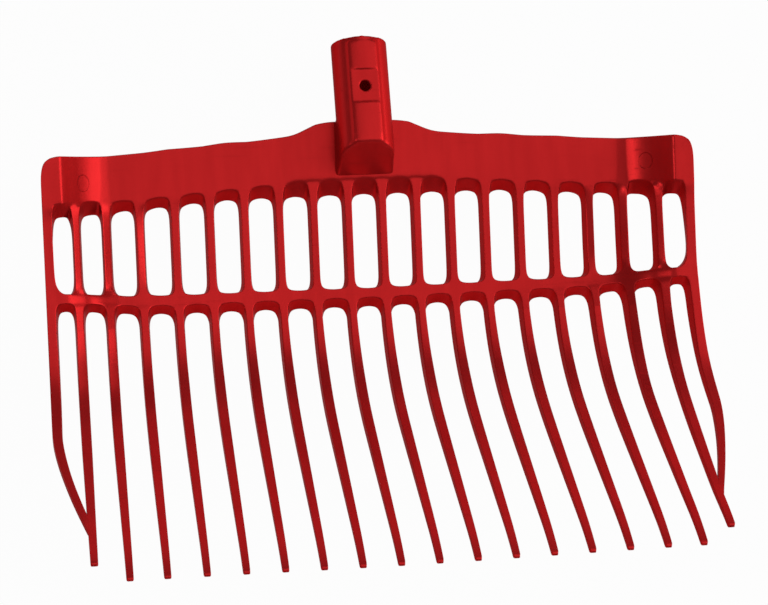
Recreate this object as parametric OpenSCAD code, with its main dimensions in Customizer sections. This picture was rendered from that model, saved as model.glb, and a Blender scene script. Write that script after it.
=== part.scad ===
// Moulded manure fork head: handle socket, arched plate, grille of bars, cross rail and curved tines.
// Lengths are in millimetres. It lies on its back: X across the tines, +Y out of the socket, +Z up.

/* [Tines] */
// Number of tines, edge tines included
tine_count = 20; // [14:2:24]
// Distance between tines in the middle of the head
tine_pitch = 20.8; // [18:0.1:24]
// Distance between tines at the foot of the side bend
foot_pitch = 19.7; // [17:0.1:23]
// Distance between tines on the slope of the side bend
side_pitch = 18; // [15:0.1:21]
// Distance between the two outermost tines
edge_pitch = 16.2; // [13:0.1:19]
// Width of a bar, and of a tine at the cross rail
tine_w = 5.4; // [4.4:0.1:6.5]
// Width of a tine at the end of its curve
mid_w = 5; // [4:0.1:6]
// Width of a tine at its tip
tip_w = 3.4; // [2.4:0.1:4]
// Depth of the plate, the bars and the tines at the cross rail, front to back
tine_d = 10; // [8:0.1:12]
// Depth of a tine at the end of its curve
mid_d = 5.2; // [4.2:0.1:6.5]
// Depth of a tine at its tip
tip_d = 2.6; // [2.2:0.1:4]
// Chamfer along the edges of a tine
tine_chamfer = 0.8; // [0.4:0.1:1]
// Length of a tine, from the stubs of the cross rail to its tip
tine_l = 206.5; // [180:0.5:230]
// Length of a tine down to the end of its curve
mid_l = 95; // [80:1:110]
// Slope of the cross rail against the bars
rail_tilt = 10.5; // [6:0.5:14]
// Slope of a tine where it leaves the cross rail
root_angle = 15.5; // [10:0.5:24]
// Slope of a tine after its curve
bend_angle = 59; // [50:0.5:66]
// Length of the curve of a tine in the middle of the head
bend_l = 85; // [70:1:110]
// Length that the curve gains toward the last flat tine
side_bend_l = 99; // [60:1:120]
// How much of the turn comes early in the middle of the head
bend_lead = 1.45; // [1:0.05:2]
// How much more of the turn comes early at the last flat tine
side_bend_lead = 3.5; // [1:0.1:4]
// Length at the tip that turns back a little
tip_l = 28; // [16:1:36]
// Angle that the tip turns back
tip_relax = 10; // [2:0.5:14]
// Length of the blunted end of a tip
tip_blunt = 1.2; // [0.6:0.1:2]
// How far the tine beside the edge stops short of the others, along the tine
short_l = 12.5; // [8:0.5:20]

/* [Edge tines] */
// Length along the edge tine where it starts to turn in
edge_turn_l = 77; // [66:1:88]
// Length along the edge tine where it reaches its neighbour
edge_meet_l = 150; // [135:1:165]
// Width left at the end of the edge tine
edge_end_w = 0.6; // [0.4:0.1:1.2]

/* [Dish] */
// Rise of the last flat tine above the middle of the head
bow_rise = 9; // [4:0.5:14]
// Rise of the side bend
side_rise = 23; // [14:0.5:30]

/* [Grille] */
// Slant of the slot walls, away from square to the plate
pull_angle = 33; // [26:1:38]
// Height of the slot tops above the bend line in the middle of the head
slot_top = 56.2; // [50:0.1:60]
// Drop of the slot tops at the edge tines
slot_drop = 9; // [4:0.5:12]
// Depth of the slot feet below the bend line in the middle of the head
slot_foot = 7.6; // [5:0.1:10]
// Height of the cross rail
rail_h = 5.7; // [4.5:0.1:8]
// Corner radius of the slots
corner_r = 4.5; // [3:0.1:5]
// Plain length left on each stub beyond the slot corners
stub_l = 0.6; // [0.4:0.1:2]

/* [Plate] */
// Height of the plate edge beside the shoulders
plate_crown = 88.6; // [82:0.2:94]
// Drop of the plate edge toward the sides
plate_drop = 8.8; // [5:0.2:12]
// Height of the shoulders beside the socket
shoulder_y = 96; // [92:0.5:100]
// Half width of the shoulders at their top
shoulder_top_x = 25.5; // [22:0.5:30]
// Half width of the shoulders at their foot
shoulder_foot_x = 42; // [36:0.5:50]
// Corner radius at the top of the flanges
flange_r = 8; // [4:0.5:11]
// Depth of the plate at its upper edge, front to back
plate_top_d = 6; // [4.5:0.1:8]

/* [Socket] */
// Outer radius of the socket
socket_r = 16.65; // [15.5:0.05:19]
// Diameter of the handle bore
bore_d = 25.7; // [22:0.1:28]
// Depth of the handle bore
bore_l = 60; // [50:0.5:62]
// Height of the socket mouth above the bend line
mouth_y = 142; // [136:0.5:150]
// Distance of the socket mouth in front of the middle of the plate
mouth_z = 1.4; // [0:0.1:4]
// Backward lean of the socket from the plate
socket_lean = 14; // [11:0.5:17]
// Width of the flat land along the front of the socket
land_w = 15.2; // [12:0.1:18]
// Rise of the land above the round of the socket
land_rise = 0.2; // [0.1:0.05:0.6]
// Length of plain round rim above the land
rim_l = 3; // [2:0.1:6]
// Width of the recessed pad round the screw hole
pad_w = 13.4; // [10:0.1:14.6]
// Length of the recessed pad
pad_l = 20.6; // [14:0.1:24]
// Depth of the recessed pad
pad_d = 1.4; // [0.6:0.1:1.8]
// Diameter of the screw hole
screw_d = 6.6; // [4:0.1:8]
// Distance of the screw hole below the socket mouth
screw_s = 30.6; // [26:0.2:36]
// Height on the plate where the slanted end of the socket starts
chin_y = 63.4; // [61:0.1:68]
// Slant of the socket end, away from square to the plate
chin_angle = 35; // [28:1:40]
// Half width of the socket block where it leaves the round
block_top_x = 16.2; // [15:0.1:16.4]
// Half width of the socket block at its foot
block_foot_x = 17.8; // [16.8:0.1:20]

/* [Hidden] */
arc_steps = 96;
corner_steps = 5;
edge_steps = 8;
sheet_steps = 64;
tine_steps = 20;
run_steps = 32;
last = tine_count - 1;
bow_from_edge = 3;
foot_share = 0.55;
crest_share = 0.5;
arch_share = 0.85;
lift_share = 0.15;
sag_share = 0.83;
side_fade_share = 0.72;
side_limit = 1.25;
untwist_share = 0.3;
edge_power = 1.5;
blunt_share = 0.6;
block_share = 0.18;
chamfer_share = 0.3;
half_d = tine_d / 2;
bow_x = (last / 2 - bow_from_edge) * tine_pitch;
side_x = bow_x + foot_pitch + side_pitch;
edge_x = side_x + edge_pitch;
flange_x = edge_x + tine_w / 2;
bend_foot_x = bow_x + foot_share * foot_pitch;
bend_crest_x = side_x + crest_share * edge_pitch;
pull_shift = half_d * tan(pull_angle);
overrun = tine_d + side_rise;
cut_l = 4 * overrun;

// Cuts between the plate, the bars, the rail and the tines
stub_reach = pull_shift + corner_r + stub_l;
tine_cut = slot_foot + rail_h + stub_reach;

// Edge tine where it runs into its neighbour
edge_gap = edge_pitch - width_at(edge_meet_l);
edge_full = (edge_pitch - edge_end_w) / edge_gap;
edge_stop_l = edge_turn_l + (edge_meet_l - edge_turn_l) * pow(edge_full, 1 / edge_power);

// Socket
socket_l = mouth_y - chin_y + tine_d;
land_z = socket_r + land_rise;
land_far = norm([land_w / 2, land_z]);
flank_angle = atan2(land_w / 2, land_z) + acos(socket_r / land_far);
flank_x = socket_r * sin(flank_angle);
flank_z = socket_r * cos(flank_angle);

// Attitude when the head lies on its back, on the socket rim and the feet of the bars
rim_y = mouth_y - socket_r * sin(socket_lean);
rim_z = mouth_z - socket_r * cos(socket_lean);
rest_angle = atan2(-half_d - rim_z, rim_y);

bar_names = [for (k = [1 : tine_count]) str("bar_", k < 10 ? "0" : "", k)];
tine_names = [for (k = [1 : tine_count]) str("tine_", k < 10 ? "0" : "", k)];
plastic_red = [0.68, 0.05, 0.06];

// Shape functions

function share_of(v, from, to) = min(max((v - from) / (to - from), 0), 1);
function ease(u) = u * u * (3 - 2 * u);

// Steps in from the nearest edge, and the side of the head a tine is on
function from_edge(k) = min(k, last - k);
function side_of(k) = k < last - k ? -1 : 1;

function tine_x(k) =
  let (e = from_edge(k))
  side_of(k) * (e == 0 ? edge_x
    : e == 1 ? side_x
    : e == 2 ? bow_x + foot_pitch
    : (last / 2 - e) * tine_pitch);

// Middle of the slot beyond tine k, and its reach to the side for the first and last tine
function slot_x(k) = k < 0 ? -flange_x : k == last ? flange_x : (tine_x(k) + tine_x(k + 1)) / 2;

// Height of the middle of the sheet above the middle of the head
function bow_at(x) = bow_rise * pow(x / bow_x, 2);
function side_at(x) = side_rise * ease(share_of(abs(x), bend_foot_x, bend_crest_x));
function rise(x) = bow_at(x) + side_at(x);

function slope(x, reach) = (rise(x + reach) - rise(x - reach)) / (2 * reach);

function slot_top_at(x) = slot_top - slot_drop * pow(x / edge_x, 2);
function slot_foot_at(x) = -slot_foot + lift_share * rise(x);
function bar_top(k) = min(slot_top_at(slot_x(k - 1)), slot_top_at(slot_x(k))) - stub_reach;
function bar_foot(k) = max(slot_foot_at(slot_x(k - 1)), slot_foot_at(slot_x(k))) + stub_reach;
function plate_top_at(x) = plate_crown - plate_drop * pow(min(abs(x) / (arch_share * edge_x), 1), 2);

// Direction of a tine after a length l, q from 0 in the middle of the head to 1 at the last flat tine
function turn_at(q, l) =
  let (u = min(l / (bend_l + side_bend_l * q), 1))
  root_angle + (bend_angle - root_angle) * (1 - pow(1 - u, bend_lead + side_bend_lead * q))
    - tip_relax * share_of(l, tine_l - tip_l, tine_l);

// Place on a tine after a length l: distance down, height and direction
function run_at(q, l) =
  let (
    step = l / run_steps,
    turns = [for (j = [1 : run_steps]) turn_at(q, (j - 0.5) * step)],
    ones = [for (a = turns) 1]
  )
  [tine_cut + step * ([for (a = turns) cos(a)] * ones),
    tine_cut * tan(rail_tilt) + step * ([for (a = turns) sin(a)] * ones),
    turn_at(q, l)];

function bend_of(k) = min(pow(tine_x(k) / bow_x, 2), side_limit);

function taper(l, root, mid, tip) =
  l < mid_l ? root + (mid - root) * l / mid_l : mid + (tip - mid) * share_of(l, mid_l, tine_l);

function width_at(l) = taper(l, tine_w, mid_w, tip_w);
function depth_at(l) = taper(l, tine_d, mid_d, tip_d);

// How far the edge tine has turned in after a length l
function turned_in(l) =
  edge_gap * pow(max(l - edge_turn_l, 0) / (edge_meet_l - edge_turn_l), edge_power);

// What is left of the dish after a length l
function dish_left(x, l) =
  (bow_at(x) * (1 - sag_share * l / tine_l) + side_at(x) * (1 - share_of(l, 0, side_fade_share * tine_l)))
    / cos(rail_tilt);

function rise_along(k, l) =
  let (x = abs(tine_x(k)))
  dish_left(from_edge(k) > 0 ? x : x - min(turned_in(l), edge_pitch), l);

function tine_stop(k) =
  from_edge(k) == 0 ? edge_stop_l : from_edge(k) == 1 ? tine_l - short_l : tine_l;

// Near and far side of a tine, measured outward from the middle of the head
function sides_at(k, l) =
  let (w = width_at(l), x = abs(tine_x(k)))
  from_edge(k) > 0 ? [x - w / 2, x + w / 2]
  : let (c = x - turned_in(l), near = max(c - w / 2, side_x + w / 2))
    [near, max(c + w / 2, near + edge_end_w)];

// One chamfered section of a tine
function ring(k, l, size, upright, ahead) =
  let (
    at = run_at(bend_of(k), l),
    lift = rise_along(k, l),
    a = upright ? 0 : at[2],
    b = sides_at(k, l),
    mid = (b[0] + b[1]) / 2,
    w = (b[1] - b[0]) * size / 2,
    d = depth_at(l) * size / (upright ? cos(rail_tilt) : 1) / 2,
    c = min(tine_chamfer, chamfer_share * w * 2),
    tilt = slope(mid, tine_w / 2) * (1 - share_of(l, 0, untwist_share * tine_l)),
    corners = [[-w, -d + c], [-w, d - c], [-w + c, d], [w - c, d],
      [w, d - c], [w, -d + c], [w - c, -d], [-w + c, -d]]
  )
  [for (q = corners) [
    side_of(k) * (mid + q[0]),
    -at[0] - ahead * cos(a) + q[1] * sin(a),
    lift + at[1] + ahead * sin(a) + q[1] * cos(a) + tilt * q[0]
  ]];

// Rounded outline from y = 0 up to y = l, sheared along the dish
function slot_points(w, l, r, shear) =
  let (
    x = w / 2 - r,
    centres = [[x, l - r], [-x, l - r], [-x, r], [x, r]]
  )
  [for (q = [0 : 3]) for (j = [0 : corner_steps])
    let (a = 90 * (q + j / corner_steps), p = centres[q] + r * [cos(a), sin(a)])
    [p[0], p[1] + shear * p[0]]];

// Stepped line through the bars, from side to side
function bar_line(heights) = [for (k = [0 : last])
  each [[slot_x(k - 1), heights[k]], [slot_x(k), heights[k]]]];

// Front view of the plate on one side, from the flange to the shoulder
function plate_side() = concat(
  [for (j = [0 : corner_steps])
    let (a = 90 * j / corner_steps)
    [flange_x - flange_r * (1 - cos(a)), plate_top_at(flange_x) - flange_r * (1 - sin(a))]],
  [for (j = [1 : edge_steps])
    let (x = flange_x - flange_r + (shoulder_foot_x - flange_x + flange_r) * j / edge_steps)
    [x, plate_top_at(x)]],
  [for (j = [1 : edge_steps])
    let (u = j / edge_steps)
    [shoulder_foot_x + (shoulder_top_x - shoulder_foot_x) * u,
      plate_top_at(shoulder_foot_x) + (shoulder_y - plate_top_at(shoulder_foot_x)) * ease(u)]]
);

function mirrored(points) = [for (j = [len(points) - 1 : -1 : 0]) [-points[j][0], points[j][1]]];

// Middle line of the dished sheet, from side to side
function sheet_line(reach) = [for (j = [0 : sheet_steps])
  let (x = reach * (2 * j / sheet_steps - 1)) [x, rise(x)]];

function shifted(points, z) = [for (p = points) [p[0], p[1] + z]];
function backward(points) = [for (j = [len(points) - 1 : -1 : 0]) points[j]];

// Building blocks

module in_rest() {
  rotate([rest_angle, 0, 0])
    translate([0, -mouth_y, -mouth_z])
      children();
}

module at_mouth() {
  translate([0, mouth_y, mouth_z])
    rotate([-socket_lean, 0, 0])
      children();
}

// A cross section in X and Z, drawn out along Y
module along_y(from, to) {
  translate([0, to, 0])
    rotate([90, 0, 0])
      linear_extrude(height = to - from)
        children();
}

// The dished sheet, sloped from the bend line and trimmed to a front view
module sheet(outline, tilt) {
  reach = flange_x + overrun;
  intersection() {
    rotate([-tilt, 0, 0])
      along_y(-cut_l, cut_l)
        polygon(concat(shifted(sheet_line(reach), half_d), backward(shifted(sheet_line(reach), -half_d))));
    translate([0, 0, -overrun])
      linear_extrude(height = cut_l)
        polygon(outline);
  }
}

module slanted_cut(x, y, w, l, z_slope) {
  translate([x, y, rise(x)])
    rotate([-pull_angle, 0, 0])
      translate([0, 0, -cut_l / 2])
        linear_extrude(height = cut_l)
          polygon(slot_points(w, l * cos(pull_angle), corner_r, -z_slope * sin(pull_angle)));
}

// Slots between the bars
module slots() {
  for (k = [0 : last - 1]) {
    x = (tine_x(k) + tine_x(k + 1)) / 2;
    wide = tine_x(k + 1) - tine_x(k);
    slanted_cut(x, slot_foot_at(x), wide - tine_w, slot_top_at(x) - slot_foot_at(x), slope(x, wide / 2));
  }
}

// Gaps between the tines, below the rail
module gaps() {
  for (k = [0 : last - 1]) {
    x = (tine_x(k) + tine_x(k + 1)) / 2;
    wide = tine_x(k + 1) - tine_x(k);
    slanted_cut(x, slot_foot_at(x) - rail_h - slot_top, wide - tine_w, slot_top, slope(x, wide / 2));
  }
}

// Closed skin over a row of sections
module skin(rings) {
  n = len(rings[0]);
  m = len(rings);
  sides = [for (i = [0 : m - 2]) for (j = [0 : n - 1])
    let (a = i * n + j, b = i * n + (j + 1) % n)
    each [[a, b, b + n], [a, b + n, a + n]]];
  caps = [for (j = [1 : n - 2]) each [
    [0, j + 1, j],
    [(m - 1) * n, (m - 1) * n + j, (m - 1) * n + j + 1]]];
  polyhedron(points = [for (r = rings) each r], faces = concat(sides, caps), convexity = 6);
}

// Outer form of the socket: round tube with its land, and the block that stands on the plate
module socket_form() {
  difference() {
    union() {
      at_mouth() {
        rotate([90, 0, 0])
          cylinder(h = socket_l, r = socket_r, $fn = arc_steps);
        along_y(-socket_l, -rim_l)
          polygon([[-flank_x, 0], [flank_x, 0], [flank_x, flank_z], [land_w / 2, land_z],
            [-land_w / 2, land_z], [-flank_x, flank_z]]);
      }
      intersection() {
        at_mouth()
          along_y(-socket_l, 0)
            polygon([[-block_top_x, block_share * socket_r], [-block_foot_x, -overrun],
              [block_foot_x, -overrun], [block_top_x, block_share * socket_r]]);
        translate([-overrun, shoulder_y - cut_l, 0])
          cube([2 * overrun, cut_l, cut_l]);
      }
    }
    // Slanted end of the socket
    translate([-cut_l / 2, chin_y, half_d])
      rotate([-chin_angle, 0, 0])
        translate([0, -cut_l, -cut_l / 2])
          cube([cut_l, cut_l, cut_l]);
  }
}

// Sub-parts

module handle_socket() {
  color(plastic_red)
    in_rest()
      difference() {
        socket_form();
        at_mouth() {
          // Handle bore
          translate([0, overrun, 0])
            rotate([90, 0, 0])
              cylinder(h = bore_l + overrun, d = bore_d, $fn = arc_steps);
          // Recessed pad and screw hole
          translate([-pad_w / 2, -screw_s - pad_l / 2, land_z - pad_d])
            cube([pad_w, pad_l, overrun]);
          translate([0, -screw_s, 0])
            cylinder(h = overrun, d = screw_d, $fn = arc_steps);
        }
      }
}

module shoulder_plate() {
  color(plastic_red)
    in_rest()
      difference() {
        sheet(concat(
          bar_line([for (k = [0 : last]) bar_top(k)]),
          plate_side(),
          mirrored(plate_side())
        ), 0);
        // The back slopes toward the front, to the thinner upper edge
        translate([0, slot_top, -half_d])
          rotate([atan2(tine_d - plate_top_d, shoulder_y - slot_top), 0, 0])
            translate([0, 0, half_d])
              along_y(0, cut_l)
                polygon(concat(shifted(sheet_line(flange_x + overrun), -half_d),
                  [[flange_x + overrun, -overrun], [-flange_x - overrun, -overrun]]));
        slots();
        socket_form();
      }
}

module cross_rail() {
  color(plastic_red)
    in_rest()
      difference() {
        sheet(concat(
          [[-flange_x, -tine_cut], [flange_x, -tine_cut]],
          backward(bar_line([for (k = [0 : last]) bar_foot(k)]))
        ), rail_tilt);
        slots();
        gaps();
      }
}

module bar(k) {
  x = tine_x(k);
  near = x - tine_w / 2;
  far = x + tine_w / 2;
  color(plastic_red)
    in_rest()
      along_y(bar_foot(k), bar_top(k))
        polygon([[near, rise(near) - half_d], [far, rise(far) - half_d],
          [far, rise(far) + half_d], [near, rise(near) + half_d]]);
}

module tine(k) {
  stop = tine_stop(k);
  rings = concat(
    [for (j = [0 : tine_steps]) ring(k, stop * j / tine_steps, 1, j == 0, 0)],
    [ring(k, stop, blunt_share, false, tip_blunt)]
  );
  color(plastic_red)
    in_rest()
      skin(side_of(k) < 0 ? rings : [for (r = rings) backward(r)]);
}

handle_socket();
shoulder_plate();
cross_rail();
for (k = [0 : last]) bar(k);
for (k = [0 : last]) tine(k);
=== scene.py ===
import bpy
import math
from mathutils import Matrix, Vector


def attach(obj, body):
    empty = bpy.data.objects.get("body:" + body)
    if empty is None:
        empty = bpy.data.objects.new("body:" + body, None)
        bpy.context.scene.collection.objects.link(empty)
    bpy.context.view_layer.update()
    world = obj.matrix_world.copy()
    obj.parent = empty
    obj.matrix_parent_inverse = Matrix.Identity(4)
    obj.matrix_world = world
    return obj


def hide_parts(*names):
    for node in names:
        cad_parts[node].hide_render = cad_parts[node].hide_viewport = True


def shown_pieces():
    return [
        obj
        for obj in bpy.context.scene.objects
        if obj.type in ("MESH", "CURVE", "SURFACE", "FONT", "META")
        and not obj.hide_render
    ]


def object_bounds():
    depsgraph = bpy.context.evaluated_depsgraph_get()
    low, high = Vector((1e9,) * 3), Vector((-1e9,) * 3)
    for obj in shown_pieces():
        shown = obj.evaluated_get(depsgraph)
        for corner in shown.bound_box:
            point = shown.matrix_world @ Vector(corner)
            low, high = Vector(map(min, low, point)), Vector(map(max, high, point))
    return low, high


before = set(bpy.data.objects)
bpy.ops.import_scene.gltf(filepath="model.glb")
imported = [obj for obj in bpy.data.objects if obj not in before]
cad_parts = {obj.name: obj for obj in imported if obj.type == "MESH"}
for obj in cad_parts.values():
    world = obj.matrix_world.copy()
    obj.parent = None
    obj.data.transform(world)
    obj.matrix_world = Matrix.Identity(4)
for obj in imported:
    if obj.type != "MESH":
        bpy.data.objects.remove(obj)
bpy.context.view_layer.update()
mm = 0.001
print("frame loaded:", len(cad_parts), "solids")

# Sizes in millimetres, in the plate's own axes: x across, y up the plate, z out of the carrying side.
# y = 0 is the bend line, on the rail.

head = dict(
    middleX=[10.4, 31.2, 52.0, 72.8, 93.6, 114.4, 135.2, 154.9, 172.9, 189.1],
    pitch=20.8, barWidth=6.3, depth=10.0, edgeSoft=1.0, edgeX=191.7,
    draft=0.34, outerDraft=0.4, edgeExtra=0.5, thinner=2.6, thinX=150.0,
    bow=9.0, bowX=135.2, sideRise=23.0, sideFoot=146.04, sideCrest=181.0, plateFoot=150.0, plateCrest=179.8,
    restTilt=4.04441, mouthY=142.0, mouthZ=1.4, smoothAngle=50.0)

tineX = [-x for x in reversed(head["middleX"])] + head["middleX"]
lastTine = len(tineX) - 1
halfDepth = head["depth"] / 2
halfBar = head["barWidth"] / 2
soft = head["edgeSoft"]
fullBend = 135.2   # the tines out here turn up the soonest
tiny = 0.01   # tells the lines of a flat sheet apart


# Shape of the dish

def share(v, a, b):
    return min(max((v - a) / (b - a), 0.0), 1.0)


def ease(u):
    return u * u * (3 - 2 * u)


def along(table, x):
    # straight lines between the pairs of a table
    x = abs(x)
    for (x0, y0), (x1, y1) in zip(table, table[1:]):
        if x <= x1:
            return y0 + (y1 - y0) * share(x, x0, x1)
    return table[-1][1]


def bowAt(x):
    return head["bow"] * (x / head["bowX"]) ** 2


def sideAt(x):
    return head["sideRise"] * ease(share(abs(x), head["sideFoot"], head["sideCrest"]))


def dish(x):
    return bowAt(x) + sideAt(x)


def plateDish(x):
    # on the plate the side bend ends in a crisp crest
    u = share(abs(x), head["plateFoot"], head["plateCrest"])
    return bowAt(x) + head["sideRise"] * u * u


def dishSlope(x):
    return (dish(x + halfBar) - dish(x - halfBar)) / head["barWidth"]


def sideShare(x):
    # 0 in the middle, 1 at the sides
    return min((x / head["thinX"]) ** 2, 1)


# the rail stands a little higher between the middle and the side bends
railRise = dict(height=5.7, start=0.3, reach=0.7, limit=1.25, fadeFrom=158.0, fadeTo=166.0,
                above=-12.0, peak=27.0, below=97.0)


def railLift(x, t):
    # t is the distance below the bend line
    q = (x / fullBend) ** 2
    most = railRise["height"] * min(max((q - railRise["start"]) / railRise["reach"], 0), railRise["limit"])
    most *= 1 - share(abs(x), railRise["fadeFrom"], railRise["fadeTo"])
    if t < railRise["peak"]:
        return most * ease(share(t, railRise["above"], railRise["peak"]))
    return most * (1 - ease(share(t, railRise["peak"], railRise["below"])))


restTurn = Matrix.Rotation(math.radians(head["restTilt"]), 4, "X")


def lay(p):
    # from the plate's axes to the head lying on its back
    return restTurn @ (Vector((p[0], p[1] - head["mouthY"], p[2] - head["mouthZ"])) * mm)


def draftAt(v, amount):
    # bars and tines are narrower at the front than at the back
    return 1 - amount * (v + halfDepth) / head["depth"]


# Small modelling helpers

def freshStart():
    if bpy.context.object and bpy.context.object.mode != "OBJECT":
        bpy.ops.object.mode_set(mode="OBJECT")
    bpy.ops.object.select_all(action="DESELECT")


def makeActive(piece):
    freshStart()
    piece.select_set(True)
    bpy.context.view_layer.objects.active = piece


def useModifier(piece, kind, **settings):
    makeActive(piece)
    made = piece.modifiers.new(kind.lower(), kind)
    for name, value in settings.items():
        setattr(made, name, value)
    bpy.ops.object.modifier_apply(modifier=made.name)


def startPicking(piece, kind):
    makeActive(piece)
    bpy.ops.object.mode_set(mode="EDIT")
    bpy.ops.mesh.select_mode(type=kind)
    bpy.ops.mesh.select_all(action="DESELECT")
    bpy.ops.object.mode_set(mode="OBJECT")


def pickFaces(piece, test):
    startPicking(piece, "FACE")
    for face in piece.data.polygons:
        face.select = test(face)
    bpy.ops.object.mode_set(mode="EDIT")


def pickEdges(piece, test):
    # the test gets the edge and its two ends
    startPicking(piece, "EDGE")
    points = piece.data.vertices
    for edge in piece.data.edges:
        edge.select = test(edge, points[edge.vertices[0]].co, points[edge.vertices[1]].co)
    bpy.ops.object.mode_set(mode="EDIT")


def gridSheet(name, xs, ys):
    # a flat grid with its lines at the given places, in millimetres
    freshStart()
    bpy.ops.mesh.primitive_grid_add(x_subdivisions=len(xs) - 1, y_subdivisions=len(ys) - 1, size=2)
    piece = bpy.context.object
    piece.name = name
    for point in piece.data.vertices:
        column = round((point.co.x + 1) / 2 * (len(xs) - 1))
        row = round((point.co.y + 1) / 2 * (len(ys) - 1))
        point.co = (xs[column], ys[row], 0)
    return piece


def thicken(piece):
    # front, back and rim, with two lines round the rim that keep its edges softly round
    useModifier(piece, "SOLIDIFY", thickness=head["depth"], offset=0)
    pickEdges(piece, lambda edge, a, b: abs(a.z - b.z) > halfDepth)
    bpy.ops.mesh.subdivide(number_cuts=2)
    bpy.ops.object.mode_set(mode="OBJECT")
    for point in piece.data.vertices:
        if abs(point.co.z) < halfDepth - tiny:
            point.co.z = math.copysign(halfDepth - soft, point.co.z)


def creaseRoot(piece, y):
    # the outline of each end face at this height stays sharp, so that the next piece meets it flush
    ends = set()
    others = set()
    points = piece.data.vertices
    for face in piece.data.polygons:
        flat = all(abs(points[i].co.y - y) < tiny for i in face.vertices)
        (ends if flat else others).update(face.edge_keys)
    marks = ends & others
    pickEdges(piece, lambda edge, a, b: edge.key in marks)
    bpy.ops.transform.edge_crease(value=1)
    bpy.ops.object.mode_set(mode="OBJECT")


def finishPiece(piece, levels):
    if levels:
        useModifier(piece, "SUBSURF", levels=levels, render_levels=levels)
    makeActive(piece)
    bpy.ops.object.shade_smooth_by_angle(angle=math.radians(head["smoothAngle"]))
    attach(piece, "root")


# Plate, bars and rail, worked as one flat sheet with slots and then pressed to its shape

grille = dict(
    cut=-22.0, bendTop=8.0, bendRadius=110.9, bendGrow=0.017, railHeight=5.6, railBack=4.2, footBack=0.6,
    topFront=[(0, 62), (41, 61.5), (62, 59.8), (104, 56.7), (145, 53.5), (164, 54.2), (180, 53)],
    topBack=[(0, 52.5), (62, 52.2), (83, 51.9), (104, 50.6), (125, 48.9), (145, 47.3), (164, 45.6), (181, 44.8)],
    footFront=[(0, -4.5), (115, -3.5), (145, -2.5), (163, -0.5), (180, 1)],
    upperEdge=[(0, 96.4), (25.5, 96.2), (35, 91.9), (42, 88.7), (68, 86), (83, 86), (98, 84), (119, 83),
               (128, 81.7), (154, 80), (192, 80)],
    topDepth=6.0, thinFrom=56.0, thinTo=96.0,
    proud=0.9, proudX=48.0, proudSoft=3.0, proudFrom=66.0, proudTo=92.0,
    edgeSlope=2.7, edgeFront=0.3, slimmer=0.7, extraLean={1: 0.15, 2: 0.17, 3: 0.34}, endLean=0.5,
    cornerRadius=10.0, flangeTop=80.0)

# lines of the flat sheet: names of places between which the true lines are stretched
flatRows = dict(
    cut=-22.0, stub=-20.3, webLow=-16.0, web=-13.2, railFoot=-11.0, railLow=-10.0, railHigh=-6.0, slotFoot=-5.0,
    foot1=-2.8, foot2=0.5, foot3=5.0, bar1=20.0, bar2=34.0, top3=45.0, top2=50.0, top1=53.5, slotTop=56.0,
    lip=57.2, plate1=65.0, plate2=74.0, plate3=83.0, brow=86.8, crown=88.0)
rowNames = list(flatRows)

# lines in the three outermost gaps of each side; the others have one in the middle
gapLines = {0: (178.6, 180.3, 181.9), 1: (160.8, 163.9, 167.0), 2: (142.0, 148.6)}
columns = []
for k, x in enumerate(tineX):
    columns += [x - halfBar, x - halfBar + soft, x + halfBar - soft, x + halfBar]
    if k in (0, lastTine):
        columns.append(x)
    if k < lastTine:
        middle = (x + tineX[k + 1]) / 2
        lines = gapLines.get(min(k, lastTine - 1 - k), (abs(middle),))
        columns += [math.copysign(line, middle) for line in lines]
columns.sort()


def topAt(x, v):
    back, front = along(grille["topBack"], x), along(grille["topFront"], x)
    return back + (front - back) * (v + halfDepth) / head["depth"]


def footAt(x, v):
    return along(grille["footFront"], x) - grille["footBack"] * (halfDepth - v) / head["depth"]


def webAt(x, v):
    low = along(grille["footFront"], x) - grille["railHeight"]
    return low - grille["railBack"] * (halfDepth - v) / head["depth"]


def rowAt(name, x, v):
    # where a line of the flat sheet really lies
    cut = grille["cut"]
    top, foot, web = topAt(x, v), footAt(x, v), webAt(x, v)
    edge = along(grille["upperEdge"], x)
    low, high = foot + 10, top - 11
    lip, rest = top + 1.2, edge - top - 2.4
    return dict(
        cut=cut, stub=cut + 1.7, webLow=max(web - 5, cut + 2.6), web=web - 2.2,
        railFoot=web, railLow=web + 1, railHigh=foot - 1,
        slotFoot=foot, foot1=foot + 2.2, foot2=foot + 5.5, foot3=low,
        bar1=low + (high - low) / 3, bar2=low + (high - low) / 1.5,
        top3=high, top2=top - 6, top1=top - 2.5, slotTop=top, lip=lip,
        plate1=lip + rest / 3.4, plate2=lip + rest / 1.6, plate3=edge - 4.6, brow=edge - 1.2, crown=edge)[name]


# how far the bar spreads at each line, front and back, to round the corners of the slots
flare = dict(
    webLow=(0.15, 0.3), web=(0.9, 1.3), railFoot=(2.8, 3.2), railLow=(2.8, 3.2),
    railHigh=(2.4, 3.8), slotFoot=(2.4, 3.8), foot1=(0.5, 1.2), foot2=(0, 0.2),
    top2=(0.5, 0.05), top1=(1.3, 0.9), slotTop=(2.7, 2.8), lip=(2.7, 2.8))
edgeFlare = dict(railHigh=(4.6, 4.8), slotFoot=(4.6, 4.8), foot1=(2.3, 2.4), foot2=(0.7, 0.7), foot3=(0.1, 0.1))
# how far the slot ends bend round toward the bars
roundEnd = dict(railFoot=-0.7, railLow=-0.5, railHigh=0.5, slotFoot=0.5, slotTop=-1.0, lip=-1.0)
plateRows = ("plate1", "plate2", "plate3", "brow", "crown")
railRows = ("railFoot", "railLow", "railHigh", "slotFoot")

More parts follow.
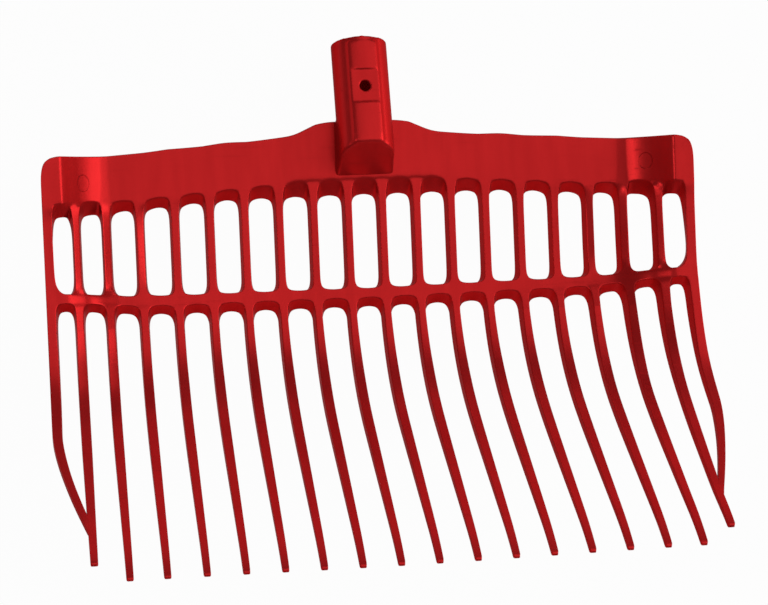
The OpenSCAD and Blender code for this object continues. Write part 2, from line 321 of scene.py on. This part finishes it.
# shares at each line: of the plate's own side bend, of the thinning, of the edge bars' slope, of the extra lean
toPlate = dict(slotFoot=0.1, foot1=0.2, foot2=0.25, foot3=0.3, bar1=0.4, bar2=0.5, top3=0.6, top2=0.75, top1=0.9)
slender = dict(railFoot=0.3, railLow=0.4, railHigh=0.5, slotFoot=0.5, foot1=0.6, foot2=0.8, foot3=1,
               bar1=1, bar2=1, top3=1, top2=0.5)
edgeShare = dict(foot1=0.4, foot2=0.7, foot3=0.9, bar1=0.8, bar2=0.55, top3=0.28, top2=0.1)
leanShare = dict(foot2=0.3, foot3=0.7, bar1=1, bar2=1, top3=0.7, top2=0.35, top1=0.1)


def formAt(x, name):
    # the rail has an even side bend, the plate one with a crest, and the bars pass from one to the other
    return dish(x) + (plateDish(x) - dish(x)) * toPlate.get(name, 0)


def gapShare(k, side):
    # width of the gap beside a bar, as a share of the widest
    j = min(max(k + side, 0), lastTine)
    return abs(tineX[j] - tineX[k]) / head["pitch"]


def barX(k, x, name, v):
    # where a point of a bar lies across
    out = (x - tineX[k]) / halfBar
    inner = (k == 0 and out > 0) or (k == lastTine and out < 0)
    outer = (k == 0 and out < 0) or (k == lastTine and out > 0)
    front, back = (0, 0) if outer else flare.get(name, (0, 0))
    if inner:
        front, back = edgeFlare.get(name, (front, back))
    spread = back + (front - back) * (v + halfDepth) / head["depth"]
    spread *= 1 if inner and name in edgeFlare else gapShare(k, 1 if out > 0 else -1) ** 2
    slim = draftAt(v, head["draft"] * (head["outerDraft"] if outer else 1))
    nx = tineX[k] + (x - tineX[k]) * slim + out * (spread + (head["edgeExtra"] if inner else 0))
    if name in railRows:
        return nx
    # between rail and plate the edge bars slope away at the back, and the next ones are slimmer outside
    if inner:
        slope = grille["edgeSlope"] * (halfDepth - v) / head["depth"] - grille["edgeFront"]
        nx -= out * slope * edgeShare.get(name, 0)
    if k in (1, lastTine - 1) and out * tineX[k] > 0:
        nx -= out * grille["slimmer"] * slender.get(name, 0)
    return nx


def roundCorner(x, y):
    # rounded upper corners of the flanges
    r = grille["cornerRadius"]
    sideX, sideY = head["edgeX"] - r, grille["flangeTop"] - r
    cx, cy = max(abs(x) - sideX, 0), max(y - sideY, 0)
    if cx and cy:
        far = math.hypot(cx, cy)
        most = max(cx, cy)
        x = math.copysign(sideX + cx * most / far, x)
        y = sideY + cy * most / far
    return x, y


def pressSheet(x, y, v):
    name = min(rowNames, key=lambda n: abs(flatRows[n] - y))
    k = min(range(len(tineX)), key=lambda i: abs(x - tineX[i]))
    middle = tineX[k]
    onBar = abs(x - middle) <= halfBar + tiny
    yy = rowAt(name, x, v)
    if name in plateRows:
        nx = x
    elif onBar:
        nx = barX(k, x, name, v)
        near = abs(x - middle) / halfBar * gapShare(k, 1 if x > middle else -1)
    else:
        j = k if x > middle else k - 1
        a, b = tineX[j] + halfBar, tineX[j + 1] - halfBar
        far = (x - a) / (b - a)
        nx = barX(j, a, name, v) * (1 - far) + barX(j + 1, b, name, v) * far
        near = abs(2 * far - 1) * gapShare(j, 1)
    if name in roundEnd and abs(x) < head["middleX"][-1]:
        yy += roundEnd[name] * near ** 4
    thin = head["thinner"] / head["depth"] * slender.get(name, 0)
    if name in plateRows + ("lip", "slotTop"):
        lift = plateDish(nx)
    elif not onBar or name in railRows:
        lift = formAt(nx, name)
        v *= 1 - thin * sideShare(nx)
    else:
        more = grille["extraLean"].get(min(k, lastTine - k), 0)
        lean = dishSlope(middle) + math.copysign(more, middle) * leanShare.get(name, 0)
        flat = grille["endLean"] if name in ("top1", "foot1") else 1
        lift = formAt(middle, name) + lean * flat * (nx - middle)
        v *= 1 - thin * sideShare(middle)
    # the plate stands proud round the socket and is thinner toward its upper edge
    if name in plateRows + ("lip",) and v > 0:
        beside = share(abs(nx), grille["proudX"] - grille["proudSoft"], grille["proudX"])
        v += grille["proud"] * (1 - beside) * (1 - share(yy, grille["proudFrom"], grille["proudTo"]))
    if v < 0:
        thinned = share(yy, grille["thinFrom"], grille["thinTo"])
        v += (head["depth"] - grille["topDepth"]) * thinned * (-v / halfDepth)
    nx = min(max(nx, -head["edgeX"]), head["edgeX"])
    nx, yy = roundCorner(nx, yy)
    # flat above, and an even curve below the line where the rail begins to turn up
    lift *= 1 + grille["bendGrow"] * share(-yy, -grille["bendTop"], -grille["cut"])
    lift += railLift(nx, -yy)
    turn = max(grille["bendTop"] - yy, 0) / grille["bendRadius"]
    if turn:
        yy = grille["bendTop"] - grille["bendRadius"] * math.sin(turn)
        lift += grille["bendRadius"] * (1 - math.cos(turn))
    return lay((nx, yy + v * math.sin(turn), lift + v * math.cos(turn)))


sheet = gridSheet("forkGrille", columns, list(flatRows.values()))


def inGap(face):
    x, y = face.center.x, face.center.y
    onBar = any(abs(x - c) < halfBar for c in tineX)
    return not onBar and (y < flatRows["railFoot"] or flatRows["slotFoot"] < y < flatRows["slotTop"])


pickFaces(sheet, inGap)
bpy.ops.mesh.delete(type="FACE")
bpy.ops.object.mode_set(mode="OBJECT")
thicken(sheet)
creaseRoot(sheet, flatRows["cut"])
for point in sheet.data.vertices:
    point.co = pressSheet(*point.co)
finishPiece(sheet, levels=2)
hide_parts("shoulder_plate", "cross_rail", *["bar_%02d" % (k + 1) for k in range(20)])
print("grille pressed:", len(sheet.data.polygons), "faces")


# Tines: one flat blank, copied and drawn out along each curve

tineShape = dict(
    cut=21.647, length=206.5, rows=22, firstRow=1.7, endRow=3.0,
    midLength=95.0, midWidth=5.75, tipWidth=3.95, midDepth=5.2, tipDepth=2.6, lowDraft=0.08, undraft=42.0,
    railTilt=10.5, rootAngle=15.5, rootLength=12.0, bendAngle=59.0, bendLength=85.0, sideBendLength=99.0,
    bendLead=1.45, sideBendLead=3.5, tipLength=28.0, tipRelax=10.0,
    sagShare=0.83, sideFade=0.72, fadeStart=24.0, sideLimit=1.25, untwist=62.0,
    domeLength=0.9, domeWidth=0.36, domeDepth=0.45, shortBy=12.5,
    # the edge tines, which turn in to their neighbours
    edgeTurn=77.0, edgeMeet=150.0, edgePower=1.5, edgeShort=0.8, edgeSlim=0.2, slimFrom=50.0, slimTo=120.0,
    edgeThin=0.06, thinBefore=20.0)
tip = tineShape["length"]

blankRows = [tip * j / tineShape["rows"] for j in range(tineShape["rows"] + 1)]
blankRows = (blankRows[:1] + [tineShape["firstRow"]] + blankRows[1:-1]
             + [tip - tineShape["endRow"], tip - tineShape["domeLength"], tip])
blank = gridSheet("tineBlank", [-halfBar, -halfBar + soft, halfBar - soft, halfBar],
                  [-s for s in reversed(blankRows)])
thicken(blank)
creaseRoot(blank, 0)


def taper(s, root, mid, end):
    m = tineShape["midLength"]
    return root + (mid - root) * s / m if s < m else mid + (end - mid) * share(s, m, tip)


def widthAt(s):
    return taper(s, head["barWidth"], tineShape["midWidth"], tineShape["tipWidth"])


def depthAt(x, s):
    # the outer tines lose their depth sooner
    u = min(s / tineShape["midLength"], 1)
    early = u * (1 - u) * sideShare(x)
    plain = taper(s, head["depth"], tineShape["midDepth"], tineShape["tipDepth"])
    return plain - (head["depth"] - tineShape["midDepth"]) * early


def turnAt(q, s):
    u = min(s / (tineShape["bendLength"] + tineShape["sideBendLength"] * q), 1)
    lead = tineShape["bendLead"] + tineShape["sideBendLead"] * q
    turn = tineShape["rootAngle"] + (tineShape["bendAngle"] - tineShape["rootAngle"]) * (1 - (1 - u) ** lead)
    return math.radians(turn - tineShape["tipRelax"] * share(s, tip - tineShape["tipLength"], tip))


def dishLeft(x, s):
    # the dish fades along the tine, with no kink at the rail
    start = tineShape["fadeStart"]
    s = s * s / (2 * start) if s < start else s - start / 2
    side = sideAt(x) * (1 - share(s, 0, tineShape["sideFade"] * tip))
    left = bowAt(x) * (1 - tineShape["sagShare"] * s / tip) + side
    return left / math.cos(math.radians(tineShape["railTilt"]))


def tineRun(x):
    # distance down and height every millimetre along the tine, and a little past its tip
    q = min((x / fullBend) ** 2, tineShape["sideLimit"])
    down, up = tineShape["cut"], tineShape["cut"] * math.tan(math.radians(tineShape["railTilt"]))
    run = [(down, up)]
    for s in range(int(tip) + 4):
        turn = turnAt(q, s + 0.5)
        down, up = down + math.cos(turn), up + math.sin(turn)
        run.append((down, up))
    return run


edgePitch = head["middleX"][-1] - head["middleX"][-2]
edgeGap = edgePitch - widthAt(tineShape["edgeMeet"])
edgeReach = tineShape["edgeMeet"] - tineShape["edgeTurn"]
edgeStop = tineShape["edgeTurn"] + edgeReach * (edgePitch / edgeGap) ** (1 / tineShape["edgePower"])


def spine(k, run, s):
    # middle of the tine after a length s
    x = abs(tineX[k])
    lift = dishLeft(x, s)
    if k in (0, lastTine):
        turned = edgeGap * (max(s - tineShape["edgeTurn"], 0) / edgeReach) ** tineShape["edgePower"]
        lift += (dishLeft(head["middleX"][-2], s) - lift) * min(turned / edgePitch, 1)
        x -= turned
    i = min(int(s), len(run) - 2)
    (d0, u0), (d1, u1) = run[i], run[i + 1]
    lift += railLift(x, s - grille["cut"])
    return math.copysign(x, tineX[k]), d0 + (d1 - d0) * (s - i), u0 + (u1 - u0) * (s - i) + lift


def drawTine(k, run, dx, y, v):
    fromEdge = min(k, lastTine - k)
    stop = tip
    if fromEdge == 0:
        stop = edgeStop - tineShape["edgeShort"]
    elif fromEdge == 1:
        stop = tip - tineShape["shortBy"]
    # the first row and the rounded end keep their lengths
    first, toEnd = tineShape["firstRow"], tip + y
    s = -y if -y < first + tiny else first + (-y - first) * (stop - first) / (tip - first)
    if toEnd < tineShape["endRow"] + tiny:
        s = stop - toEnd
    x, down, up = spine(k, run, s)
    nextDown, nextUp = spine(k, run, s + 1)[1:]
    turn = math.atan2(nextUp - up, nextDown - down)
    turn += (math.radians(tineShape["rootAngle"]) - turn) * (1 - share(s, 0, tineShape["rootLength"]))
    deep = depthAt(tineX[k], s) / head["depth"]
    wide = widthAt(s) / head["barWidth"]
    # the end is domed
    dome = 1 - share(toEnd, 0, tineShape["domeLength"])
    wide *= 1 - tineShape["domeWidth"] * dome
    deep *= 1 - tineShape["domeDepth"] * dome
    if fromEdge == 0:
        wide *= 1 - tineShape["edgeSlim"] * share(s, tineShape["slimFrom"], tineShape["slimTo"])
        deep *= 1 - tineShape["edgeThin"] * share(s, tineShape["edgeMeet"] - tineShape["thinBefore"], edgeStop)
    loose = ease(share(s, 0, tineShape["untwist"]))
    outer = (k == 0 and dx < 0) or (k == lastTine and dx > 0)
    draft = head["draft"] * (head["outerDraft"] if outer else 1)
    dx *= wide * draftAt(v, draft + (tineShape["lowDraft"] - draft) * share(s, 0, tineShape["undraft"]))
    if fromEdge == 0 and not outer:
        dx += math.copysign(head["edgeExtra"], dx) * abs(dx) / halfBar
    px = min(max(x + dx, -head["edgeX"]), head["edgeX"])
    v *= deep
    twist = dishSlope(tineX[k]) * dx * (1 - loose)
    return lay((px, -down + v * math.sin(turn), up + v * math.cos(turn) + twist))


for k in range(len(tineX)):
    mesh = blank.data.copy()
    tine = bpy.data.objects.new("tine%02d" % (k + 1), mesh)
    bpy.context.collection.objects.link(tine)
    run = tineRun(tineX[k])
    for point in mesh.vertices:
        point.co = drawTine(k, run, *point.co)
    finishPiece(tine, levels=2)
    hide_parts("tine_%02d" % (k + 1))
bpy.data.objects.remove(blank)
print("tines drawn:", len(tineX))


# Handle socket: tube, land and block joined, end cut on the slant, bore, pad and screw hole taken out

socket = dict(
    radius=16.65, length=92.0, lean=14.0, sides=128, bore=12.85, boreDepth=60.0, beyond=20.0, handleGap=0.6,
    landWidth=15.2, landRise=0.2, landFoot=10.0, landSink=0.2, rim=3.0, crown=38.0, crownSides=256,
    padWidth=26.0, padLength=20.6, padDepth=1.2, padRoom=10.0,
    screw=3.3, screwAt=30.6, screwFrom=6.0, screwTo=30.0, holeSides=64,
    chinY=63.4, chinAngle=35.0,
    blockTop=16.2, blockFoot=19.0, blockEnd=96.2, blockLow=-33.0, blockHigh=3.0, blockBase=0.5,
    # where the edges of the land and the chin are rounded, and how much
    landEdge=2.6, landEdgeZ=11.0, landWeight=0.3, chinEdge=4.0, chinSideX=9.0, chinTopZ=22.0, edgeRounds=60,
    voxel=0.5, smooth=9)

leanTurn = (Matrix.Translation((0, head["mouthY"], head["mouthZ"]))
            @ Matrix.Rotation(-math.radians(socket["lean"]), 4, "X"))


def roundBar(name, radius, start, end, sides, upright=False):
    # from start to end along the socket, or square to it
    freshStart()
    bpy.ops.mesh.primitive_cylinder_add(vertices=sides, radius=radius, depth=end - start)
    piece = bpy.context.object
    piece.name = name
    for point in piece.data.vertices:
        x, y, z = point.co
        point.co = (x, y, z + (start + end) / 2) if upright else (x, z + (start + end) / 2, -y)
    return piece


def wedgeBlock(name, lowX, highX, y0, y1, z0, z1):
    freshStart()
    bpy.ops.mesh.primitive_cube_add(size=2)
    piece = bpy.context.object
    piece.name = name
    for point in piece.data.vertices:
        x, y, z = point.co
        point.co = (x * (highX if z > 0 else lowX), y1 if y > 0 else y0, z1 if z > 0 else z0)
    return piece


def trim(piece, place, away):
    # cuts off what lies beyond a plane and closes the cut
    makeActive(piece)
    bpy.ops.object.mode_set(mode="EDIT")
    bpy.ops.mesh.select_all(action="SELECT")
    bpy.ops.mesh.bisect(plane_co=place, plane_no=away, use_fill=True, clear_outer=True)
    bpy.ops.object.mode_set(mode="OBJECT")


def combine(piece, other, operation):
    useModifier(piece, "BOOLEAN", object=other, operation=operation, solver="EXACT")
    bpy.data.objects.remove(other)


def place(piece, matrix):
    piece.data.transform(matrix)


def layMesh(piece):
    for point in piece.data.vertices:
        point.co = lay(point.co)


landZ = socket["radius"] + socket["landRise"]
landFoot = socket["landFoot"]
landBase = math.sqrt(socket["radius"] ** 2 - landFoot ** 2) - socket["landSink"]
tube = roundBar("handleSocket", socket["radius"], -socket["length"], 0, socket["sides"])
land = wedgeBlock("land", landFoot, socket["landWidth"] / 2, -socket["length"], -socket["rim"], landBase, landZ)
crown = roundBar("crown", socket["crown"], -socket["length"], 0, socket["crownSides"])
place(crown, Matrix.Translation((0, 0, landZ - socket["crown"])))
combine(land, crown, "INTERSECT")
block = wedgeBlock("block", socket["blockFoot"], socket["blockTop"], -socket["length"], 0,
                   socket["blockLow"], socket["blockHigh"])
for part in (tube, land, block):
    place(part, leanTurn)
trim(block, (0, 0, socket["blockBase"]), (0, 0, -1))
trim(block, (0, socket["blockEnd"], 0), (0, 1, 0))
combine(tube, land, "UNION")
combine(tube, block, "UNION")
chin = math.radians(socket["chinAngle"])
trim(tube, (0, socket["chinY"], halfDepth), (0, -math.cos(chin), math.sin(chin)))
useModifier(tube, "REMESH", mode="VOXEL", voxel_size=socket["voxel"])

# the edges of the chin are well rounded, those of the land a little
roundedEdges = tube.vertex_groups.new(name="roundedEdges")
fromLean = leanTurn.inverted()
for point in tube.data.vertices:
    x, y, z = point.co
    beside = fromLean @ point.co
    if abs(abs(beside.x) - socket["landWidth"] / 2) < socket["landEdge"] and beside.z > socket["landEdgeZ"]:
        roundedEdges.add([point.index], socket["landWeight"], "REPLACE")
    off = (y - socket["chinY"]) * math.cos(chin) - (z - halfDepth) * math.sin(chin)
    if abs(off) < socket["chinEdge"] and (abs(x) > socket["chinSideX"] or z > socket["chinTopZ"]):
        roundedEdges.add([point.index], 1, "REPLACE")
useModifier(tube, "SMOOTH", factor=0.5, iterations=socket["edgeRounds"], vertex_group="roundedEdges")

bore = roundBar("bore", socket["bore"], -socket["boreDepth"], socket["beyond"], socket["sides"])
halfPad = socket["padWidth"] / 2
padEnd = socket["padLength"] / 2
pad = wedgeBlock("pad", halfPad, halfPad, -socket["screwAt"] - padEnd, -socket["screwAt"] + padEnd,
                 landZ - socket["padDepth"], landZ + socket["padRoom"])
screw = roundBar("screw", socket["screw"], socket["screwFrom"], socket["screwTo"], socket["holeSides"],
                 upright=True)
place(screw, Matrix.Translation((0, -socket["screwAt"], 0)))
for part in (bore, pad, screw):
    place(part, leanTurn)
    combine(tube, part, "DIFFERENCE")
useModifier(tube, "REMESH", mode="VOXEL", voxel_size=socket["voxel"])
useModifier(tube, "SMOOTH", factor=0.5, iterations=socket["smooth"])
layMesh(tube)
finishPiece(tube, levels=0)
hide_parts("handle_socket")
print("socket shaped:", len(tube.data.polygons), "faces")

# room for the handle where the plate passes behind the socket
room = roundBar("handleRoom", socket["bore"] + socket["handleGap"], -socket["boreDepth"] - socket["handleGap"],
                socket["beyond"], socket["holeSides"])
place(room, leanTurn)
layMesh(room)
combine(sheet, room, "DIFFERENCE")
print("plate opened for the handle")


# Red moulded plastic

plasticLook = dict(
    ior=1.04, metallic=0.55, glossTint=(0.3, 0.02, 0.02, 1),
    deepRed=(0.435, 0.0135, 0.0145, 1), paleRed=(0.505, 0.0165, 0.0175, 1), deepAt=0.35, paleAt=0.65,
    cloudScale=9, flowScale=(160, 22, 60),
    smearScale=60, roughFrom=0.27, roughTo=0.37,
    scuffTurn=(0, 0, 0.35), scuffScale=(28, 700, 150), scuffFrom=0.62, scuffTo=0.72, scuffRough=0.16,
    grainScale=900, grainStrength=0.08, grainDepth=0.0002,
    # place and radius of the round marks that the mould's pins leave on the side bends
    pinMarks=[(-167.5, 64.6, 4.8), (167.5, 65.6, 4.8)], pinSoft=0.25, pinDepth=0.0003)


def addNode(nodes, kind, inputs, operation=None):
    made = nodes.new(kind)
    if operation:
        made.operation = operation
    for name, value in inputs.items():
        made.inputs[name].default_value = value
    return made


def redPlastic():
    look = plasticLook
    mat = bpy.data.materials.new("redPlastic")
    mat.use_nodes = True
    nodes, links = mat.node_tree.nodes, mat.node_tree.links
    shader = nodes["Principled BSDF"]
    shader.inputs["IOR"].default_value = look["ior"]
    shader.inputs["Metallic"].default_value = look["metallic"]
    shader.inputs["Specular Tint"].default_value = look["glossTint"]
    coords = nodes.new("ShaderNodeTexCoord").outputs["Object"]

    def stretched(scale, turn=(0, 0, 0)):
        mapping = addNode(nodes, "ShaderNodeMapping", {"Rotation": turn, "Scale": scale})
        links.new(coords, mapping.inputs["Vector"])
        return mapping.outputs["Vector"]

    def noise(vector, scale, detail):
        made = addNode(nodes, "ShaderNodeTexNoise", {"Scale": scale, "Detail": detail})
        links.new(vector, made.inputs["Vector"])
        return made.outputs["Fac"]

    # clouds, and faint flow lines up and down the moulding
    cloud = noise(coords, look["cloudScale"], detail=3)
    flow = noise(stretched(look["flowScale"]), scale=1, detail=4)
    half = addNode(nodes, "ShaderNodeMath", {1: 0.5}, "MULTIPLY")
    mixed = addNode(nodes, "ShaderNodeMath", {1: 0.5}, "MULTIPLY_ADD")
    tone = nodes.new("ShaderNodeValToRGB")
    deep, pale = tone.color_ramp.elements
    deep.position, deep.color = look["deepAt"], look["deepRed"]
    pale.position, pale.color = look["paleAt"], look["paleRed"]
    links.new(cloud, half.inputs[0])
    links.new(flow, mixed.inputs[0])
    links.new(half.outputs[0], mixed.inputs[2])
    links.new(mixed.outputs[0], tone.inputs["Fac"])
    links.new(tone.outputs["Color"], shader.inputs["Base Color"])
    # uneven gloss, with sparse fine scuffs from use across the moulding
    smear = noise(coords, look["smearScale"], detail=4)
    shine = addNode(nodes, "ShaderNodeMapRange", {"To Min": look["roughFrom"], "To Max": look["roughTo"]})
    scuff = noise(stretched(look["scuffScale"], look["scuffTurn"]), scale=1, detail=3)
    sparse = addNode(nodes, "ShaderNodeMapRange", {"From Min": look["scuffFrom"], "From Max": look["scuffTo"]})
    rough = addNode(nodes, "ShaderNodeMath", {1: look["scuffRough"]}, "MULTIPLY_ADD")
    links.new(smear, shine.inputs["Value"])
    links.new(scuff, sparse.inputs["Value"])
    links.new(sparse.outputs["Result"], rough.inputs[0])
    links.new(shine.outputs["Result"], rough.inputs[2])
    links.new(rough.outputs[0], shader.inputs["Roughness"])
    # fine grain
    grain = noise(coords, look["grainScale"], detail=2)
    bump = addNode(nodes, "ShaderNodeBump", {"Strength": look["grainStrength"], "Distance": look["grainDepth"]})
    links.new(grain, bump.inputs["Height"])
    links.new(bump.outputs["Normal"], shader.inputs["Normal"])
    # pin marks
    both = addNode(nodes, "ShaderNodeMath", {}, "MULTIPLY")
    for i, (x, y, radius) in enumerate(look["pinMarks"]):
        centre = lay((x, y, plateDish(x) + halfDepth))
        far = addNode(nodes, "ShaderNodeVectorMath", {1: centre}, "DISTANCE")
        disc = addNode(nodes, "ShaderNodeMapRange", {"From Min": (radius - look["pinSoft"]) * mm,
                                                     "From Max": (radius + look["pinSoft"]) * mm})
        links.new(coords, far.inputs[0])
        links.new(far.outputs["Value"], disc.inputs["Value"])
        links.new(disc.outputs["Result"], both.inputs[i])
    step = addNode(nodes, "ShaderNodeBump", {"Strength": 1, "Distance": look["pinDepth"]})
    links.new(both.outputs[0], step.inputs["Height"])
    links.new(step.outputs["Normal"], bump.inputs["Normal"])
    return mat


plastic = redPlastic()
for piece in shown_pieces():
    piece.data.materials.clear()
    piece.data.materials.append(plastic)
print("plastic coloured")


# Floor, light and camera

studio = dict(
    floorSize=12.0, floorGap=0.0002, floorColour=(0.45, 0.45, 0.45, 1), floorGlow=0.97,
    world=0.11, aim=(0, 40, 10),
    # place, width, height and power of each soft box
    overhead=((400, 520, 1290), 1.6, 2.3, 12.8),
    rightSide=((1450, 60, 560), 1.3, 1.4, 20.0),
    leftSide=((-1220, 100, 890), 0.4, 0.5, 3.8))


def paleFloor():
    # white to the camera, in gloss and through glass, and a plain matte floor to all other light
    mat = bpy.data.materials.new("paleFloor")
    mat.use_nodes = True
    nodes, links = mat.node_tree.nodes, mat.node_tree.links
    nodes.clear()
    out = nodes.new("ShaderNodeOutputMaterial")
    matte = addNode(nodes, "ShaderNodeBsdfDiffuse", {"Color": studio["floorColour"]})
    glow = nodes.new("ShaderNodeEmission")
    rays = nodes.new("ShaderNodeLightPath")
    seen = addNode(nodes, "ShaderNodeMath", {}, "MAXIMUM")
    seenAny = addNode(nodes, "ShaderNodeMath", {}, "MAXIMUM")
    weight = addNode(nodes, "ShaderNodeMath", {1: studio["floorGlow"]}, "MULTIPLY")
    blend = nodes.new("ShaderNodeMixShader")
    links.new(rays.outputs["Is Camera Ray"], seen.inputs[0])
    links.new(rays.outputs["Is Glossy Ray"], seen.inputs[1])
    links.new(seen.outputs[0], seenAny.inputs[0])
    links.new(rays.outputs["Is Transmission Ray"], seenAny.inputs[1])
    links.new(seenAny.outputs[0], weight.inputs[0])
    links.new(weight.outputs[0], blend.inputs["Fac"])
    links.new(matte.outputs["BSDF"], blend.inputs[1])
    links.new(glow.outputs["Emission"], blend.inputs[2])
    links.new(blend.outputs["Shader"], out.inputs["Surface"])
    return mat


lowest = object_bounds()[0].z
freshStart()
bpy.ops.mesh.primitive_plane_add(size=studio["floorSize"], location=(0, 0, 0))
floor = bpy.context.object
floor.name = "studioFloor"
for point in floor.data.vertices:
    point.co = (point.co.x, point.co.y, lowest - studio["floorGap"])
floor.data.materials.append(paleFloor())


def softBox(name, at, aim, width, height, power):
    lamp = bpy.data.lights.new(name, "AREA")
    lamp.shape = "RECTANGLE"
    lamp.size = width
    lamp.size_y = height
    lamp.energy = power
    holder = bpy.data.objects.new(name, lamp)
    bpy.context.collection.objects.link(holder)
    holder.location = lay(at)
    holder.rotation_mode = "QUATERNION"
    holder.rotation_quaternion = (lay(aim) - lay(at)).to_track_quat("-Z", "Y")


for name in ("overhead", "rightSide", "leftSide"):
    at, width, height, power = studio[name]
    softBox(name, at, studio["aim"], width, height, power)
world = bpy.data.worlds.new("studioWorld")
bpy.context.scene.world = world
world.use_nodes = True
sky = world.node_tree.nodes["Background"]
sky.inputs["Color"].default_value = (1, 1, 1, 1)
sky.inputs["Strength"].default_value = studio["world"]

camera = dict(
    place=(-191.7, 30.4, 1362.4), right=(0.9883, -0.0410, 0.1472), down=(-0.0451, -0.9987, 0.0253),
    lens=107.22, sensor=36, clipEnd=20)

cam = bpy.data.cameras.new("photoCamera")
cam.lens = camera["lens"]
cam.sensor_width = camera["sensor"]
cam.clip_end = camera["clipEnd"]
holder = bpy.data.objects.new("photoCamera", cam)
bpy.context.collection.objects.link(holder)
right = Vector(camera["right"]).normalized()
up = -Vector(camera["down"])
up = (up - right * up.dot(right)).normalized()
back = right.cross(up)
turn = Matrix((right, up, back)).transposed().to_4x4()
holder.matrix_world = Matrix.Translation(lay(camera["place"])) @ restTurn @ turn
bpy.context.scene.camera = holder
bpy.context.scene.view_settings.view_transform = "Standard"
print("studio set")
